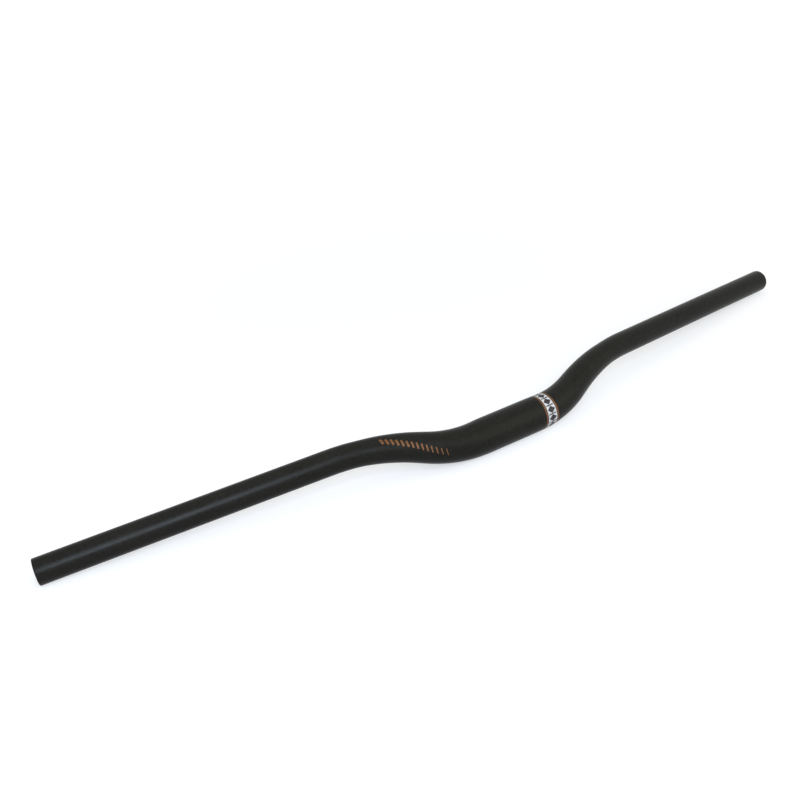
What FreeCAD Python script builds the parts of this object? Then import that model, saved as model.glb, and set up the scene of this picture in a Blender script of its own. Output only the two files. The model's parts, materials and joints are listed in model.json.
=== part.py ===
import FreeCAD, Part
import math
import os

# Riser handlebar: one aluminium tube, swaged from a thick middle down to slim grips, then bent.
# It lies on a table on its middle and its two ends. The origin is the centre of the stem clamp,
# +X runs along the clamp to the right-hand grip, +Y is where the arms sweep to, and +Z is up.

# The tube, in millimetres
bar_width = 800.0
clamp_diameter = 31.8
clamp_length = 56.0
clamp_wall = 2.5
grip_diameter = 22.2
grip_wall = 2.0
taper_length = 112.0
rim_rounding = 0.8
mouth_chamfer = 0.5

# The double bend of each arm, in millimetres and degrees, as the bar sits on a bicycle
shoulder_length = 5.5
rise_bend_radius = 110.0
rise_angle = 24.0
rise = 29.5
rise_straight = 10.0
upsweep = 5.0
backsweep = 9.0

clamp_radius = clamp_diameter / 2
grip_radius = grip_diameter / 2
clamp_bore_radius = clamp_radius - clamp_wall
grip_bore_radius = grip_radius - grip_wall
clamp_end = clamp_length / 2
taper_end = clamp_end + taper_length

# A rim keeps some of its flat face between the rounding outside and the chamfer inside
WALL_SHARE = 0.45
outer_rounding = min(rim_rounding, WALL_SHARE * grip_wall)
inner_chamfer = min(mouth_chamfer, WALL_SHARE * grip_wall)

CENTRE = FreeCAD.Vector(0, 0, 0)
ALONG_CLAMP = FreeCAD.Vector(1, 0, 0)
CLAMP_FACING = FreeCAD.Rotation(FreeCAD.Vector(0, 0, 1), ALONG_CLAMP)
SMALLEST_LENGTH = 1e-6


def direction(up_degrees, back_degrees):
    """The unit vector that points outwards along +X, turned up and then back by two angles."""
    up = math.radians(up_degrees)
    back = math.radians(back_degrees)
    return FreeCAD.Vector(
        math.cos(up) * math.cos(back), math.cos(up) * math.sin(back), math.sin(up)
    )


def rounded_path(corners, radii):
    """The edges of a path through some corners, each inner corner replaced by a tangent arc."""
    edges = []
    run_start = corners[0]
    for before, corner, after, radius in zip(corners, corners[1:], corners[2:], radii):
        arriving = (corner - before).normalize()
        leaving = (after - corner).normalize()
        half_turn = arriving.getAngle(leaving) / 2
        inwards = (leaving - arriving).normalize()
        arc_start = corner - arriving * radius * math.tan(half_turn)
        arc_middle = corner + inwards * radius * (1 / math.cos(half_turn) - 1)
        arc_end = corner + leaving * radius * math.tan(half_turn)
        edges.append(Part.LineSegment(run_start, arc_start).toShape())
        edges.append(Part.Arc(arc_start, arc_middle, arc_end).toShape())
        run_start = arc_end
    edges.append(Part.LineSegment(run_start, corners[-1]).toShape())
    return edges


def stretch(edges, start, end):
    """The part of a path that lies between two distances measured along it."""
    pieces = []
    passed = 0.0
    for edge in edges:
        first = max(start - passed, 0.0)
        last = min(end - passed, edge.Length)
        if last - first > SMALLEST_LENGTH:
            limits = (edge.getParameterByLength(first), edge.getParameterByLength(last))
            pieces.append(edge.Curve.toShape(*limits))
        passed += edge.Length
    return pieces


def carried(facing, edges):
    """The facing of a section once it has been carried along some edges without a twist."""
    for edge in edges:
        facing = FreeCAD.Rotation(*[edge.tangentAt(at) for at in edge.ParameterRange]) * facing
    return facing


def round_sweep(edges, facing, start_radius, end_radius):
    """A round bar along some edges, its radius changing evenly from one end to the other."""
    start_circle = Part.Wire(Part.makeCircle(start_radius))
    start_circle.Placement = FreeCAD.Placement(edges[0].firstVertex().Point, facing)
    end_circle = Part.Wire(Part.makeCircle(end_radius))
    end_circle.Placement = FreeCAD.Placement(edges[-1].lastVertex().Point, carried(facing, edges))
    sweep = Part.BRepOffsetAPI.MakePipeShell(Part.Wire(edges))
    sweep.add(start_circle)
    sweep.add(end_circle)
    sweep.build()
    sweep.makeSolid()
    return sweep.shape()


def filled_bar(middle_radius, end_radius):
    """The bar or its bore as one solid: the clamp, and on each side a taper and an even length."""
    clamp = Part.makeCylinder(middle_radius, clamp_length, ALONG_CLAMP * -clamp_end, ALONG_CLAMP)
    taper_path = stretch(arm_path, clamp_end, taper_end)
    even_path = stretch(arm_path, taper_end, sum(edge.Length for edge in arm_path))
    taper = round_sweep(taper_path, CLAMP_FACING, middle_radius, end_radius)
    even = round_sweep(even_path, carried(CLAMP_FACING, taper_path), end_radius, end_radius)
    other_arm = [shape.mirror(CENTRE, ALONG_CLAMP) for shape in (taper, even)]
    return clamp.fuse([taper, even, *other_arm])


def rim_edges(shape, rim_centre, radius):
    """The edges of the circle of one radius at the open end of an arm."""
    return [
        edge
        for edge in shape.Edges
        if edge.Curve.TypeId == "Part::GeomCircle"
        and edge.Curve.Center.isEqual(rim_centre, SMALLEST_LENGTH)
        and abs(edge.Curve.Radius - radius) < SMALLEST_LENGTH
    ]


def lowest_of_end(roll):
    """The height of an arm's lowest point once the bar is rolled forwards about its clamp."""
    turned = FreeCAD.Rotation(ALONG_CLAMP, -roll)
    axis = turned.multVec(grip_direction)
    rounding_centre = turned.multVec(grip_end - grip_direction * outer_rounding)
    ring_radius = grip_radius - outer_rounding
    return rounding_centre.z - ring_radius * math.hypot(axis.x, axis.y) - outer_rounding


def resting_roll():
    """The roll, in degrees, at which the clamp and both ends of the bar touch the table together."""
    least, most = 0.0, 90.0
    while most - least > SMALLEST_LENGTH:
        roll = (least + most) / 2
        if lowest_of_end(roll) > -clamp_radius:
            least = roll
        else:
            most = roll
    return roll


# The centre line of the right arm: out of the clamp, up the rise, then outwards along the grip
rise_direction = direction(rise_angle, 0)
grip_direction = direction(upsweep, backsweep)
rise_bend_reach = rise_bend_radius * math.tan(math.radians(rise_angle) / 2)
rise_length = rise / rise_direction.z
grip_bend_reach = rise_length - rise_bend_reach - rise_straight
grip_bend_radius = grip_bend_reach / math.tan(rise_direction.getAngle(grip_direction) / 2)

first_corner = ALONG_CLAMP * (clamp_end + shoulder_length + rise_bend_reach)
second_corner = first_corner + rise_direction * rise_length
grip_end = second_corner + grip_direction * ((bar_width / 2 - second_corner.x) / grip_direction.x)
arm_path = rounded_path(
    [CENTRE, first_corner, second_corner, grip_end], [rise_bend_radius, grip_bend_radius]
)

# The tube: the outside less the bore, which narrows with it and is open at both ends
outside = filled_bar(clamp_radius, grip_radius)
bore = filled_bar(clamp_bore_radius, grip_bore_radius)
handlebar = outside.cut(bore).removeSplitter()

# The cut ends: rounded outside for the grips to slide over, and chamfered at the mouth of the bore
for end_centre in (grip_end, FreeCAD.Vector(-grip_end.x, grip_end.y, grip_end.z)):
    handlebar = handlebar.makeFillet(outer_rounding, rim_edges(handlebar, end_centre, grip_radius))
    handlebar = handlebar.makeChamfer(
        inner_chamfer, rim_edges(handlebar, end_centre, grip_bore_radius)
    )

handlebar.rotate(CENTRE, ALONG_CLAMP, -resting_roll())

os.makedirs("parts", exist_ok=True)
handlebar.exportStep("parts/handlebar.step")
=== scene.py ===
import json
import math

import bpy
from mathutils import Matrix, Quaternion, Vector


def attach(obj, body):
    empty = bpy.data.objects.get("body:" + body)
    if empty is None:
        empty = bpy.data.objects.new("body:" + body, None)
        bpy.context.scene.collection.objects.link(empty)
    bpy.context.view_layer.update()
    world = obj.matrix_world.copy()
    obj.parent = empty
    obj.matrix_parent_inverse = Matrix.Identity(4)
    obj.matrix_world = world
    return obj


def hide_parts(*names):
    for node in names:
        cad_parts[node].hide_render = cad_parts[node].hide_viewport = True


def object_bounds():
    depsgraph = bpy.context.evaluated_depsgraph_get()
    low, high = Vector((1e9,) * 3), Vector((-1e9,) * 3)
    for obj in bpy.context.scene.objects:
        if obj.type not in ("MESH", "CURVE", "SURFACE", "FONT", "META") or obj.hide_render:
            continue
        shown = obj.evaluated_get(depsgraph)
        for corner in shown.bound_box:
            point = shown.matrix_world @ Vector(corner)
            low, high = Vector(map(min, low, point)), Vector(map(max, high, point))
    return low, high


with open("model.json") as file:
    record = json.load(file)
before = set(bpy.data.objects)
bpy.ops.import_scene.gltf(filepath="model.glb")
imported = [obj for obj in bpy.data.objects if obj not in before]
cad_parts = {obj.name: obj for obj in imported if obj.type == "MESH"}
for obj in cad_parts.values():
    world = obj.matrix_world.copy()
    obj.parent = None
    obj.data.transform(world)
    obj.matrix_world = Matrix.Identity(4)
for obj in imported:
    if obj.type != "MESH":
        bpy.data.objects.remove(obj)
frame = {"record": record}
cad_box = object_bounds()

# The bar is one aluminium tube, swaged from a thick middle down to slim grips and open at its ends.
# It is made here as in the workshop: turned as a straight tube, then bent twice on each side.
# Last, it is peened to an even satin and anodised black, inside and out.
MM = 0.001
mounts = {mount["name"]: mount for mount in frame["record"]["mounts"]}
clamp_radius = mounts["stem_clamp"]["dims"]["r_mm"] * MM
clamp_end = mounts["stem_clamp"]["dims"]["length_mm"] * MM / 2
clamp_wall = 2.5 * MM
clamp_bore_radius = clamp_radius - clamp_wall
grip_radius = mounts["right_grip"]["dims"]["r_mm"] * MM
grip_length = mounts["right_grip"]["dims"]["length_mm"] * MM
grip_bore_radius = mounts["right_bore"]["dims"]["r_mm"] * MM
taper_length = 112 * MM
taper_end = clamp_end + taper_length
taper_blend = 150 * MM
rim_rounding = 0.8 * MM
mouth_chamfer = 0.5 * MM

shoulder_length = 5.5 * MM
rise_bend_radius = 110 * MM
rise_angle = math.radians(24)
rise = 29.5 * MM
rise_length = rise / math.sin(rise_angle)
rise_straight = 10 * MM
rise_bend_reach = rise_bend_radius * math.tan(rise_angle / 2)
grip_bend_reach = rise_length - rise_bend_reach - rise_straight

grip_direction = Vector(mounts["right_grip"]["axis"]).normalized()
grip_middle = Vector(mounts["right_grip"]["pos_m"])
grip_start = grip_middle - grip_direction * grip_length / 2
bar_end = grip_middle + grip_direction * (grip_length / 2 + rim_rounding)
rise_corner = Vector((clamp_end + shoulder_length + rise_bend_reach, 0, 0))
grip_corner = grip_start - grip_direction * grip_bend_reach
grip_angle = grip_direction.angle(grip_corner - rise_corner)
grip_bend_radius = grip_bend_reach / math.tan(grip_angle / 2)
inner_length = clamp_end + shoulder_length + rise_bend_radius * rise_angle + rise_straight
outer_length = grip_bend_radius * grip_angle + (bar_end - grip_start).length
half_length = inner_length + outer_length


class Wire:
    """A node's output. Operators on wires and numbers add Math or Vector Math nodes."""

    def __init__(self, tree, socket=None):
        self.tree = tree
        self.socket = socket

    def node(self, kind, settings=(), sockets=(), output=0):
        """A new node: its settings are set first, then its sockets get values or links."""
        node = self.tree.nodes.new(kind)
        for name, value in dict(settings).items():
            setattr(node, name, value)
        for name, value in dict(sockets).items():
            self.feed(node, name, value)
        return Wire(self.tree, self.live(node.outputs, output) if node.outputs else None)

    @staticmethod
    def live(sockets, name):
        """The socket in use of that name, or at that place among those in use."""
        used = [socket for socket in sockets if socket.enabled]
        return used[name] if isinstance(name, int) else next(s for s in used if s.name == name)

    def feed(self, node, name, value):
        """Gives one socket of a node a value or a link."""
        socket = self.live(node.inputs, name)
        if isinstance(value, Wire):
            self.tree.links.new(value.socket, socket)
        elif socket.type == "VECTOR" and isinstance(value, (int, float)):
            socket.default_value = (value,) * 3
        else:
            socket.default_value = value

    def out(self, name):
        """Another output of the same node."""
        return Wire(self.tree, self.live(self.socket.node.outputs, name))

    def maths(self, operation, *terms):
        """A Math node on these terms, or a Vector Math node if one of them is a vector."""
        wires = [term for term in terms if isinstance(term, Wire)]
        vectors = any(wire.socket.type == "VECTOR" for wire in wires)
        kind = "ShaderNodeVectorMath" if vectors else "ShaderNodeMath"
        return self.node(kind, {"operation": operation}, dict(enumerate(terms)))

    def __add__(self, other):
        return self.maths("ADD", self, other)

    def __sub__(self, other):
        return self.maths("SUBTRACT", self, other)

    def __rsub__(self, other):
        return self.maths("SUBTRACT", other, self)

    def __mul__(self, other):
        return self.maths("MULTIPLY", self, other)

    def __truediv__(self, other):
        return self.maths("DIVIDE", self, other)

    def __rtruediv__(self, other):
        return self.maths("DIVIDE", other, self)

    __radd__ = __add__
    __rmul__ = __mul__


def new_tree(name, sizes):
    """A Geometry Nodes tree with a geometry in and out, and a named input for each size."""
    tree = bpy.data.node_groups.new(name, "GeometryNodeTree")
    tree.interface.new_socket("Geometry", in_out="INPUT", socket_type="NodeSocketGeometry")
    for label, kind in sizes.items():
        tree.interface.new_socket(label, in_out="INPUT", socket_type="NodeSocket" + kind)
    tree.interface.new_socket("Geometry", in_out="OUTPUT", socket_type="NodeSocketGeometry")
    return tree, Wire(tree).node("NodeGroupInput")


def made_piece(name, tree, base, sizes, thickness=0):
    """A plain mesh object: what the tree makes of a base mesh with these sizes."""
    piece = bpy.data.objects.new(name, base)
    bpy.context.scene.collection.objects.link(piece)
    making = piece.modifiers.new("making", "NODES")
    making.node_group = tree
    for item in tree.interface.items_tree:
        if item.in_out == "INPUT" and item.name in sizes:
            making[item.identifier] = sizes[item.name]
    if thickness:
        thickening = piece.modifiers.new("thickening", "SOLIDIFY")
        thickening.thickness = thickness
        thickening.offset = -1
    evaluated = piece.evaluated_get(bpy.context.evaluated_depsgraph_get())
    finished = bpy.data.meshes.new_from_object(evaluated)
    piece.modifiers.clear()
    piece.data = finished
    finished.name = name
    return piece


def mirrored(point):
    """The same point on the left arm."""
    return Vector((-point.x, point.y, point.z))


def new_finish(name):
    """A new material, its Principled shader, and a wire to start its nodes from."""
    material = bpy.data.materials.new(name)
    material.use_nodes = True
    return material, material.node_tree.nodes["Principled BSDF"], Wire(material.node_tree)


# The centre line: its corners, each with the radius of the bend that rounds it
corners = [(rise_corner, rise_bend_radius), (grip_corner, grip_bend_radius), (bar_end, 0)]
corners = [(mirrored(place), radius) for place, radius in reversed(corners)] + corners
centre_curve = bpy.data.curves.new("centre_line", "CURVE")
centre_curve.dimensions = "3D"
spline = centre_curve.splines.new("POLY")
spline.points.add(len(corners) - 1)
for point, (place, radius) in zip(spline.points, corners):
    point.co = (*place, 1)
    point.radius = radius
centre_line = bpy.data.objects.new("centre_line", centre_curve)
bpy.context.scene.collection.objects.link(centre_line)

# Bending: what is at some distance along the straight tube goes that far along the centre line
bend_steps = 60
line_step = 1 * MM
bending, given = new_tree("bending", {"Centre line": "Object"})
line = given.node("GeometryNodeObjectInfo", {}, {"Object": given.out("Centre line")}, "Geometry")
bend_radius = given.node("GeometryNodeInputRadius")
line = given.node(
    "GeometryNodeFilletCurve", {"mode": "POLY"},
    {"Curve": line, "Radius": bend_radius, "Count": bend_steps},
)
line = given.node(
    "GeometryNodeResampleCurve", {"mode": "LENGTH"}, {"Curve": line, "Length": line_step}
)
line = given.node("GeometryNodeSetCurveNormal", {"mode": "Z_UP"}, {"Curve": line})
line_length = given.node("GeometryNodeCurveLength", {}, {"Curve": line})
straight = given.node("GeometryNodeInputPosition")
along = given.node("ShaderNodeSeparateXYZ", {}, {"Vector": straight})
on_line = given.node(
    "GeometryNodeSampleCurve", {"mode": "LENGTH"},
    {"Curves": line, "Length": along + line_length / 2}, "Position",
)
forwards = on_line.out("Normal")
upwards = given.maths("CROSS_PRODUCT", forwards, on_line.out("Tangent"))
kept = given.node(
    "GeometryNodeStoreNamedAttribute", {"data_type": "FLOAT_VECTOR", "domain": "POINT"},
    {"Geometry": given, "Name": "straight", "Value": straight},
)
bent_place = on_line - forwards * along.out("Y") + upwards * along.out("Z")
bent = given.node("GeometryNodeSetPosition", {}, {"Geometry": kept, "Position": bent_place})
given.node("NodeGroupOutput", {}, {"Geometry": bent})

# The finish: a black of faint clouds and a fine peened grain, with drawing lines along the tube.
# In tone, sheen and relief, each pattern has its own weight. The end faces show turning rings.
deep_black = (0.0040, 0.0038, 0.0030, 1)
pale_black = (0.0132, 0.0125, 0.0100, 1)
across_tube = Vector((0, 1, 1))
line_stretch = Vector((9, 1100, 1100))
face_depth = 0.05 * MM
ring_pitch = 0.3 * MM
relief_depth = 0.03 * MM
anodised, shader, shade = new_finish("black_anodised")
on_tube = shade.node("ShaderNodeAttribute", {"attribute_name": "straight"}, {}, "Vector")
along = shade.node("ShaderNodeSeparateXYZ", {}, {"Vector": on_tube})
from_middle = shade.maths("ABSOLUTE", along)
from_axis = shade.node(
    "ShaderNodeVectorMath", {"operation": "LENGTH"}, {0: on_tube * across_tube}, "Value"
)
wall_middle = shade.node(
    "ShaderNodeMapRange", {},
    {
        "Value": from_middle, "From Min": clamp_end, "From Max": taper_end,
        "To Min": (clamp_radius + clamp_bore_radius) / 2,
        "To Max": (grip_radius + grip_bore_radius) / 2,
    },
)
in_bore = shade.maths("LESS_THAN", from_axis, wall_middle)
on_face = shade.maths("GREATER_THAN", from_middle, half_length - face_depth)
clouds = shade.node("ShaderNodeTexNoise", {}, {"Vector": on_tube, "Scale": 28, "Detail": 4})
drawing_lines = shade.node(
    "ShaderNodeTexNoise", {}, {"Vector": on_tube * line_stretch, "Scale": 1, "Detail": 3}
)
dimples = shade.node("ShaderNodeTexNoise", {}, {"Vector": on_tube, "Scale": 360, "Detail": 2})
grain = shade.node(
    "ShaderNodeTexNoise", {}, {"Vector": on_tube, "Scale": 1900, "Detail": 2, "Roughness": 0.55}
)
tone = clouds * 0.5 + dimples * 0.9 + grain * 1.6 - 1.0
colour = shade.node(
    "ShaderNodeMix", {"data_type": "RGBA"}, {"Factor": tone, "A": deep_black, "B": pale_black}
)
shade.feed(shader, "Base Color", colour)
sheen = 0.17 + clouds * 0.08 + dimples * 0.20 + drawing_lines * 0.04
shade.feed(shader, "Roughness", sheen + in_bore * 0.1)
shader.inputs["Specular IOR Level"].default_value = 0.078
turning_rings = shade.maths("SINE", from_axis * (2 * math.pi / ring_pitch))
peened = (grain * 1.2 + dimples * 3.0) * (1 - on_face)
relief = peened + drawing_lines * (0.35 + in_bore * 0.6) + turning_rings * on_face * 0.4
bump = shade.node(
    "ShaderNodeBump", {}, {"Strength": 0.5, "Distance": relief_depth, "Height": relief}
)
shade.feed(shader, "Normal", bump)

# The wall's section on one side of the axis: distance along, radius, and rounding of each corner
right_half = [
    (half_length - mouth_chamfer, grip_bore_radius, 0),
    (half_length, grip_bore_radius + mouth_chamfer, 0),
    (half_length, grip_radius, rim_rounding),
    (taper_end, grip_radius, taper_blend),
    (clamp_end, clamp_radius, taper_blend),
]
bore_half = [(clamp_end, clamp_bore_radius, taper_blend), (taper_end, grip_bore_radius, taper_blend)]
left_half = [(-x, radius, rounding) for x, radius, rounding in reversed(right_half)]
left_bore = [(-x, radius, rounding) for x, radius, rounding in reversed(bore_half)]
section = right_half + left_half + left_bore + bore_half
section_mesh = bpy.data.meshes.new("wall_section")
section_mesh.from_pydata(
    [(radius - grip_bore_radius, x, 0) for x, radius, rounding in section],
    [(step, (step + 1) % len(section)) for step in range(len(section))],
    [],
)
roundings = section_mesh.attributes.new("rounding", "FLOAT", "POINT")
roundings.data.foreach_set("value", [rounding for x, radius, rounding in section])

# Turning: the section goes round the axis, and the straight tube is then bent
rounding_steps = 8
tube_sides = 96
tube_spacing = 4 * MM
sharp_angle = math.radians(30)
turning, given = new_tree(
    "turning", {"Centre line": "Object", "Bore radius": "Float", "Sides": "Int", "Spacing": "Float"}
)
outline = given.node("GeometryNodeMeshToCurve", {}, {"Mesh": given})
rounding = given.node(
    "GeometryNodeInputNamedAttribute", {"data_type": "FLOAT"}, {"Name": "rounding"}
)
outline = given.node(
    "GeometryNodeFilletCurve", {"mode": "POLY"},
    {"Curve": outline, "Radius": rounding, "Count": rounding_steps},
)
place = given.node("GeometryNodeInputPosition")
following = given.node("GeometryNodeOffsetPointInCurve", {}, {"Offset": 1}, "Point Index")
next_place = given.node(
    "GeometryNodeFieldAtIndex", {"data_type": "FLOAT_VECTOR", "domain": "POINT"},
    {"Value": place, "Index": following},
)
run = given.node(
    "ShaderNodeVectorMath", {"operation": "DISTANCE"}, {0: place, 1: next_place}, "Value"
)
outline = given.node(
    "GeometryNodeSubdivideCurve", {}, {"Curve": outline, "Cuts": run / given.out("Spacing")}
)
ring = given.node(
    "GeometryNodeCurvePrimitiveCircle", {},
    {"Resolution": given.out("Sides"), "Radius": given.out("Bore radius")},
)
ring = given.node("GeometryNodeSetCurveNormal", {"mode": "Z_UP"}, {"Curve": ring})
tube = given.node("GeometryNodeCurveToMesh", {}, {"Curve": ring, "Profile Curve": outline})
tube = given.node("GeometryNodeFlipFaces", {}, {"Mesh": tube})
tube = given.node("GeometryNodeTransform", {}, {"Geometry": tube, "Rotation": (0, math.pi / 2, 0)})
tube = given.node(
    "GeometryNodeGroup", {"node_tree": bending},
    {"Geometry": tube, "Centre line": given.out("Centre line")},
)
edge_angle = given.node("GeometryNodeInputMeshEdgeAngle")
sharp = given.maths("GREATER_THAN", edge_angle, sharp_angle)
tube = given.node(
    "GeometryNodeSetShadeSmooth", {"domain": "EDGE"},
    {"Geometry": tube, "Selection": sharp, "Shade Smooth": False},
)
tube = given.node("GeometryNodeRealizeInstances", {}, {"Geometry": tube})
tube = given.node("GeometryNodeSetMaterial", {}, {"Geometry": tube, "Material": anodised})
given.node("NodeGroupOutput", {}, {"Geometry": tube})

bar = made_piece(
    "handlebar_tube", turning, section_mesh,
    {
        "Centre line": centre_line, "Bore radius": grip_bore_radius,
        "Sides": tube_sides, "Spacing": tube_spacing,
    },
)
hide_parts("handlebar")
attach(bar, "root")

# The band is a screen print round the bar beside the clamp: a pale field with dark lozenges and
# strokes, between two copper lines. Ink lies on the finish as a film a few hundredths of a millimetre
# thick, so it is drawn flat here, as on the screen, and then laid round the bar.
band_start = 32.3 * MM
band_end = 44.0 * MM
band_radius = 15.4 * MM
line_width = 1.5 * MM
field_gap = 0.6 * MM
lozenges = 12
lozenge_length = 8.0 * MM
lozenge_width = 6.9 * MM
stroke_length = 7.6 * MM
stroke_width = 1.1 * MM
film_top = 0.06 * MM
dark_film_top = film_top + 0.03 * MM
film_thickness = 0.1 * MM

# Laying: along the bar, the angle round it from the top, and the height over it become a place
laying, given = new_tree(
    "laying",
    {
        "Clamp end": "Float", "Taper end": "Float",
        "Clamp radius": "Float", "Grip radius": "Float",
    },
)
flat = given.node("ShaderNodeSeparateXYZ", {}, {"Vector": given.node("GeometryNodeInputPosition")})
angle = flat.out("Y")
surface = given.node(
    "ShaderNodeMapRange", {},
    {
        "Value": given.maths("ABSOLUTE", flat),
        "From Min": given.out("Clamp end"), "From Max": given.out("Taper end"),
        "To Min": given.out("Clamp radius"), "To Max": given.out("Grip radius"),
    },
)
reach = surface + flat.out("Z")
laid_place = given.node(
    "ShaderNodeCombineXYZ", {},
    {
        "X": flat,
        "Y": reach * given.maths("SINE", angle),
        "Z": reach * given.maths("COSINE", angle),
    },
)
laid = given.node("GeometryNodeSetPosition", {}, {"Geometry": given, "Position": laid_place})
given.node("NodeGroupOutput", {}, {"Geometry": laid})
tube_sizes = {
    "Clamp end": clamp_end, "Taper end": taper_end,
    "Clamp radius": clamp_radius, "Grip radius": grip_radius,
}


def ink(name, thin, thick, roughness, metallic=0):
    """A print ink: two tones of one colour, where the film is thinner and thicker."""
    material, shader, shade = new_finish(name)
    on_tube = shade.node("ShaderNodeAttribute", {"attribute_name": "straight"}, {}, "Vector")
    mottle = shade.node(
        "ShaderNodeTexNoise", {}, {"Vector": on_tube, "Scale": 900, "Detail": 3}
    )
    colour = shade.node(
        "ShaderNodeMix", {"data_type": "RGBA"},
        {"Factor": mottle, "A": (*thin, 1), "B": (*thick, 1)},
    )
    shade.feed(shader, "Base Color", colour)
    shade.feed(shader, "Roughness", roughness - 0.05 + mottle * 0.1)
    shader.inputs["Metallic"].default_value = metallic
    shader.inputs["Specular IOR Level"].default_value = 0.3
    bump = shade.node(
        "ShaderNodeBump", {}, {"Strength": 0.2, "Distance": 0.01 * MM, "Height": mottle}
    )
    shade.feed(shader, "Normal", bump)
    return material


copper_ink = ink("copper_ink", (0.090, 0.037, 0.012), (0.150, 0.063, 0.021), 0.45, 0.4)
pale_ink = ink("pale_ink", (0.41, 0.41, 0.40), (0.50, 0.50, 0.49), 0.5)
dark_ink = ink("dark_ink", (0.012, 0.009, 0.012), (0.022, 0.016, 0.02), 0.5)

# Printing: the flat shapes of one ink are laid round the tube and bent with it
weld_distance = 0.001 * MM
ring_rows = 8
ring_columns = 145
mark_rows = 9


def printed(given, film, material):
    """The end of a print's tree: flat shapes become a film on the bent tube."""
    film = given.node("GeometryNodeRealizeInstances", {}, {"Geometry": film})
    film = given.node(
        "GeometryNodeGroup", {"node_tree": laying}, {"Geometry": film, **tube_sizes}
    )
    film = given.node(
        "GeometryNodeGroup", {"node_tree": bending},
        {"Geometry": film, "Centre line": centre_line},
    )
    film = given.node(
        "GeometryNodeMergeByDistance", {}, {"Geometry": film, "Distance": weld_distance}
    )
    return given.node("GeometryNodeSetMaterial", {}, {"Geometry": film, "Material": material})


def ring_of_ink(given, start, end, height, material):
    """One ring of a print, between two distances along the bar."""
    film = given.node(
        "GeometryNodeMeshGrid", {},
        {
            "Size X": end - start, "Size Y": 2 * math.pi,
            "Vertices X": ring_rows, "Vertices Y": ring_columns,
        },
    )
    middle = given.node("ShaderNodeCombineXYZ", {}, {"X": (start + end) / 2, "Z": height})
    film = given.node("GeometryNodeTransform", {}, {"Geometry": film, "Translation": middle})
    return printed(given, film, material)


band_tree, given = new_tree(
    "band", {"Start": "Float", "End": "Float", "Line width": "Float", "Lozenges": "Int"}
)
start, end, width = given.out("Start"), given.out("End"), given.out("Line width")
field_start = start + width / 2 + field_gap
field_end = end - width / 2 - field_gap
copper_lines = [
    ring_of_ink(given, at - width / 2, at + width / 2, film_top, copper_ink) for at in (start, end)
]
field = ring_of_ink(given, field_start, field_end, film_top, pale_ink)
step = 2 * math.pi / given.out("Lozenges")
marks = []
for side, turn, mark_length, mark_width, offset in (
    (math.sqrt(0.5), math.pi / 4, lozenge_length, lozenge_width, 0.0),
    (1.0, 0.0, stroke_length, stroke_width, 0.5),
):
    mark = given.node(
        "GeometryNodeMeshGrid", {},
        {"Size X": side, "Size Y": side, "Vertices X": mark_rows, "Vertices Y": mark_rows},
    )
    mark = given.node("GeometryNodeTransform", {}, {"Geometry": mark, "Rotation": (0, 0, turn)})
    mark_size = (mark_length, mark_width / band_radius, 1)
    mark = given.node("GeometryNodeTransform", {}, {"Geometry": mark, "Scale": mark_size})
    row_start = given.node(
        "ShaderNodeCombineXYZ", {},
        {"X": (field_start + field_end) / 2, "Y": step * offset, "Z": dark_film_top},
    )
    row_step = given.node("ShaderNodeCombineXYZ", {}, {"Y": step})
    row = given.node(
        "GeometryNodeMeshLine", {},
        {"Count": given.out("Lozenges"), "Start Location": row_start, "Offset": row_step},
    )
    row = given.node("GeometryNodeInstanceOnPoints", {}, {"Points": row, "Instance": mark})
    marks.append(printed(given, row, dark_ink))
joined = given.node("GeometryNodeJoinGeometry", {}, {})
for film in [*copper_lines, field, *marks]:
    given.feed(joined.socket.node, "Geometry", film)
given.node("NodeGroupOutput", {}, {"Geometry": joined})

band = made_piece(
    "printed_band", band_tree, bpy.data.meshes.new("band_base"),
    {"Start": band_start, "End": band_end, "Line width": line_width, "Lozenges": lozenges},
    film_thickness,
)
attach(band, "root")

# The run of bars is a copper print on the near bend, from a wide bar down to a narrow one.
# It is pad printed in one straight line across the bend, so it winds a little round the tube.
bars_radius = 12.8 * MM
bars_start = Vector((-122.5 * MM, math.radians(-25) * bars_radius, film_top))
bars_end = Vector((-68 * MM, math.radians(-77) * bars_radius, film_top))
bars_lean = math.radians(20)
bars_count = 14
bars_narrowing = 0.7
widest_bar = 2.3 * MM
bars_height = 5.6 * MM
bar_rows = 5
bar_columns = 13

bars_tree, given = new_tree(
    "bars",
    {
        "First": "Vector", "Last": "Vector", "Lean": "Float", "Bars": "Int", "Narrowing": "Float",
        "Width": "Float", "Height": "Float", "Radius": "Float",
    },
)
mark = given.node(
    "GeometryNodeMeshGrid", {},
    {
        "Size X": given.out("Width"), "Size Y": given.out("Height"),
        "Vertices X": bar_rows, "Vertices Y": bar_columns,
    },
)
row = given.node(
    "GeometryNodeMeshLine", {"mode": "END_POINTS"},
    {"Count": given.out("Bars"), "Start Location": given.out("First"), "Offset": given.out("Last")},
)
number = given.node("GeometryNodeInputIndex")
narrowed = 1 - given.out("Narrowing") * number / given.out("Bars")
row = given.node(
    "GeometryNodeInstanceOnPoints", {},
    {
        "Points": row, "Instance": mark,
        "Rotation": given.node("ShaderNodeCombineXYZ", {}, {"Z": given.out("Lean")}),
        "Scale": given.node("ShaderNodeCombineXYZ", {}, {"X": narrowed, "Y": 1.0, "Z": 1.0}),
    },
)
to_angle = given.node("ShaderNodeCombineXYZ", {}, {"X": 1.0, "Y": 1 / given.out("Radius"), "Z": 1.0})
row = given.node("GeometryNodeRealizeInstances", {}, {"Geometry": row})
row = given.node("GeometryNodeTransform", {}, {"Geometry": row, "Scale": to_angle})
given.node("NodeGroupOutput", {}, {"Geometry": printed(given, row, copper_ink)})

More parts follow.
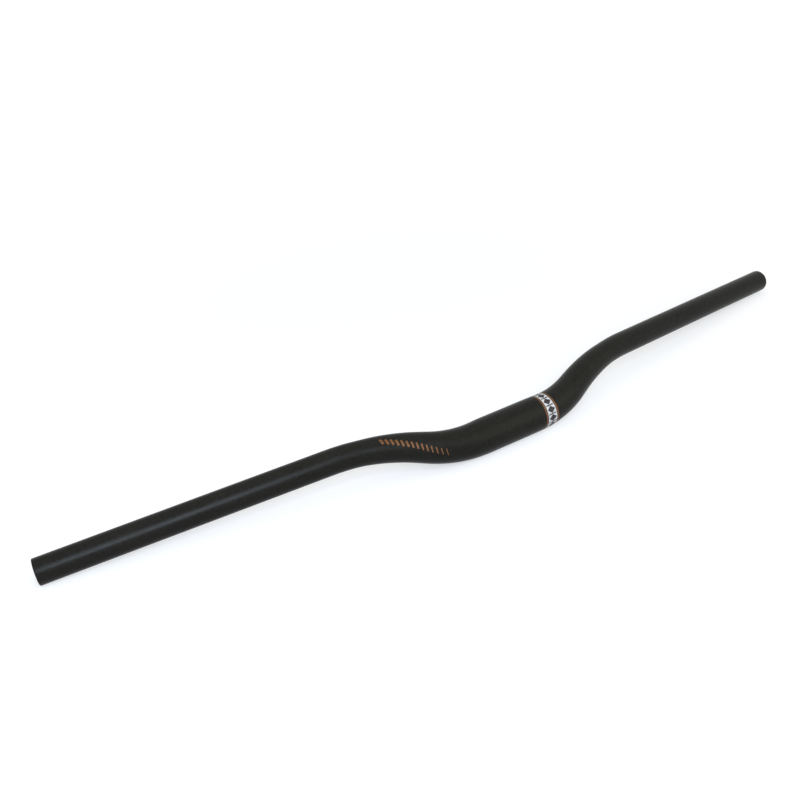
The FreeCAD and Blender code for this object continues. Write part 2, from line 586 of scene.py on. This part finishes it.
bars = made_piece(
    "printed_bars", bars_tree, bpy.data.meshes.new("bars_base"),
    {
        "First": bars_start, "Last": bars_end, "Lean": bars_lean,
        "Bars": bars_count, "Narrowing": bars_narrowing,
        "Width": widest_bar, "Height": bars_height, "Radius": bars_radius,
    },
    film_thickness,
)
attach(bars, "root")
bpy.data.objects.remove(centre_line)

# The floor is one wide sheet of white paper that the bar lies on, and the backdrop too.
# Close to the bar it glows less, so that it keeps the bar's shadow and is plain white further off.
floor_reach = 20.0
paper_grey = (0.45, 0.45, 0.45, 1)
shadow_zone = {"From Min": 0.2, "From Max": 1.5, "To Min": 0.5, "To Max": 0.85}
table = cad_box[0].z
floor_mesh = bpy.data.meshes.new("floor")
floor_mesh.from_pydata(
    [
        (x * floor_reach, y * floor_reach, table)
        for x, y in ((-1, -1), (1, -1), (1, 1), (-1, 1))
    ],
    [], [(0, 1, 2, 3)],
)
floor = bpy.data.objects.new("floor", floor_mesh)
bpy.context.scene.collection.objects.link(floor)


def seen_by(shade):
    """1 for rays from the camera and from gloss or glass, which show the backdrop, and 0 for others."""
    ray = shade.node("ShaderNodeLightPath")
    seen = shade.maths("MAXIMUM", ray.out("Is Camera Ray"), ray.out("Is Glossy Ray"))
    return shade.maths("MAXIMUM", seen, ray.out("Is Transmission Ray"))


paper, shader, shade = new_finish("white_paper")
shader.inputs["Base Color"].default_value = paper_grey
shader.inputs["Roughness"].default_value = 0.9
shader.inputs["Specular IOR Level"].default_value = 0.0
seen = seen_by(shade)
on_floor = shade.node("ShaderNodeTexCoord", {}, {}, "Object")
from_bar = shade.node("ShaderNodeVectorMath", {"operation": "LENGTH"}, {0: on_floor}, "Value")
glow = shade.node(
    "ShaderNodeMapRange", {"interpolation_type": "SMOOTHSTEP"}, {"Value": from_bar, **shadow_zone}
)
shade.feed(shader, "Emission Color", seen * glow)
shader.inputs["Emission Strength"].default_value = 1.0
floor_mesh.materials.append(paper)

# The studio is a white room with soft lamps: two cool ones that draw the streak on the left arm,
# and two warm ones, in front and above, that fill in the rest.
room_level = 0.55
cool_light = (0.72, 0.83, 1.0)
warm_light = (1.0, 0.97, 0.84)
left_arm = (-0.30, 0.06, 0.0)
world = bpy.data.worlds.new("studio")
world.use_nodes = True
bpy.context.scene.world = world
shade = Wire(world.node_tree)
background = world.node_tree.nodes["Background"]
background.inputs["Color"].default_value = (1, 1, 1, 1)
shade.feed(background, "Strength", room_level + seen_by(shade) * (1 - room_level))


def softbox(name, place, target, size, watts, colour):
    """A soft area lamp that points at a target."""
    lamp = bpy.data.lights.new(name, "AREA")
    lamp.shape = "RECTANGLE"
    lamp.size, lamp.size_y = size
    lamp.energy = watts
    lamp.color = colour
    light = bpy.data.objects.new(name, lamp)
    light.location = place
    light.rotation_euler = (Vector(target) - Vector(place)).to_track_quat("-Z", "Y").to_euler()
    bpy.context.scene.collection.objects.link(light)


softbox("key", (-0.54, -0.90, 0.66), left_arm, (0.52, 0.30), 7.5, cool_light)
softbox("sky", (-0.50, -0.76, 0.90), left_arm, (0.62, 0.50), 10, cool_light)
softbox("fill", (0.80, -1.05, 0.80), (0.05, 0.03, 0.0), (1.3, 1.5), 10, warm_light)
softbox("top", (0.1, 0.2, 1.8), (0.0, 0.03, 0.0), (1.6, 1.6), 5, warm_light)

# The camera stands as in the photograph: near the left end, looking down across the bar.
# Its place, aim and lens come from a fit of the bar's outline.
camera_data = bpy.data.cameras.new("camera")
camera_data.sensor_width = 36.0
camera_data.lens = 45.54
camera = bpy.data.objects.new("camera", camera_data)
camera_place = Vector((-0.45502, -0.61070, 0.47054))
camera_aim = Vector((-0.04888, 0.10040, 0.0))
camera_roll = Quaternion((0, 0, 1), math.radians(-5.494))
camera_turn = (camera_aim - camera_place).to_track_quat("-Z", "Y") @ camera_roll
camera.location = camera_place
camera.rotation_euler = camera_turn.to_euler()
bpy.context.scene.collection.objects.link(camera)
bpy.context.scene.camera = camera
bpy.context.scene.view_settings.view_transform = "Standard"
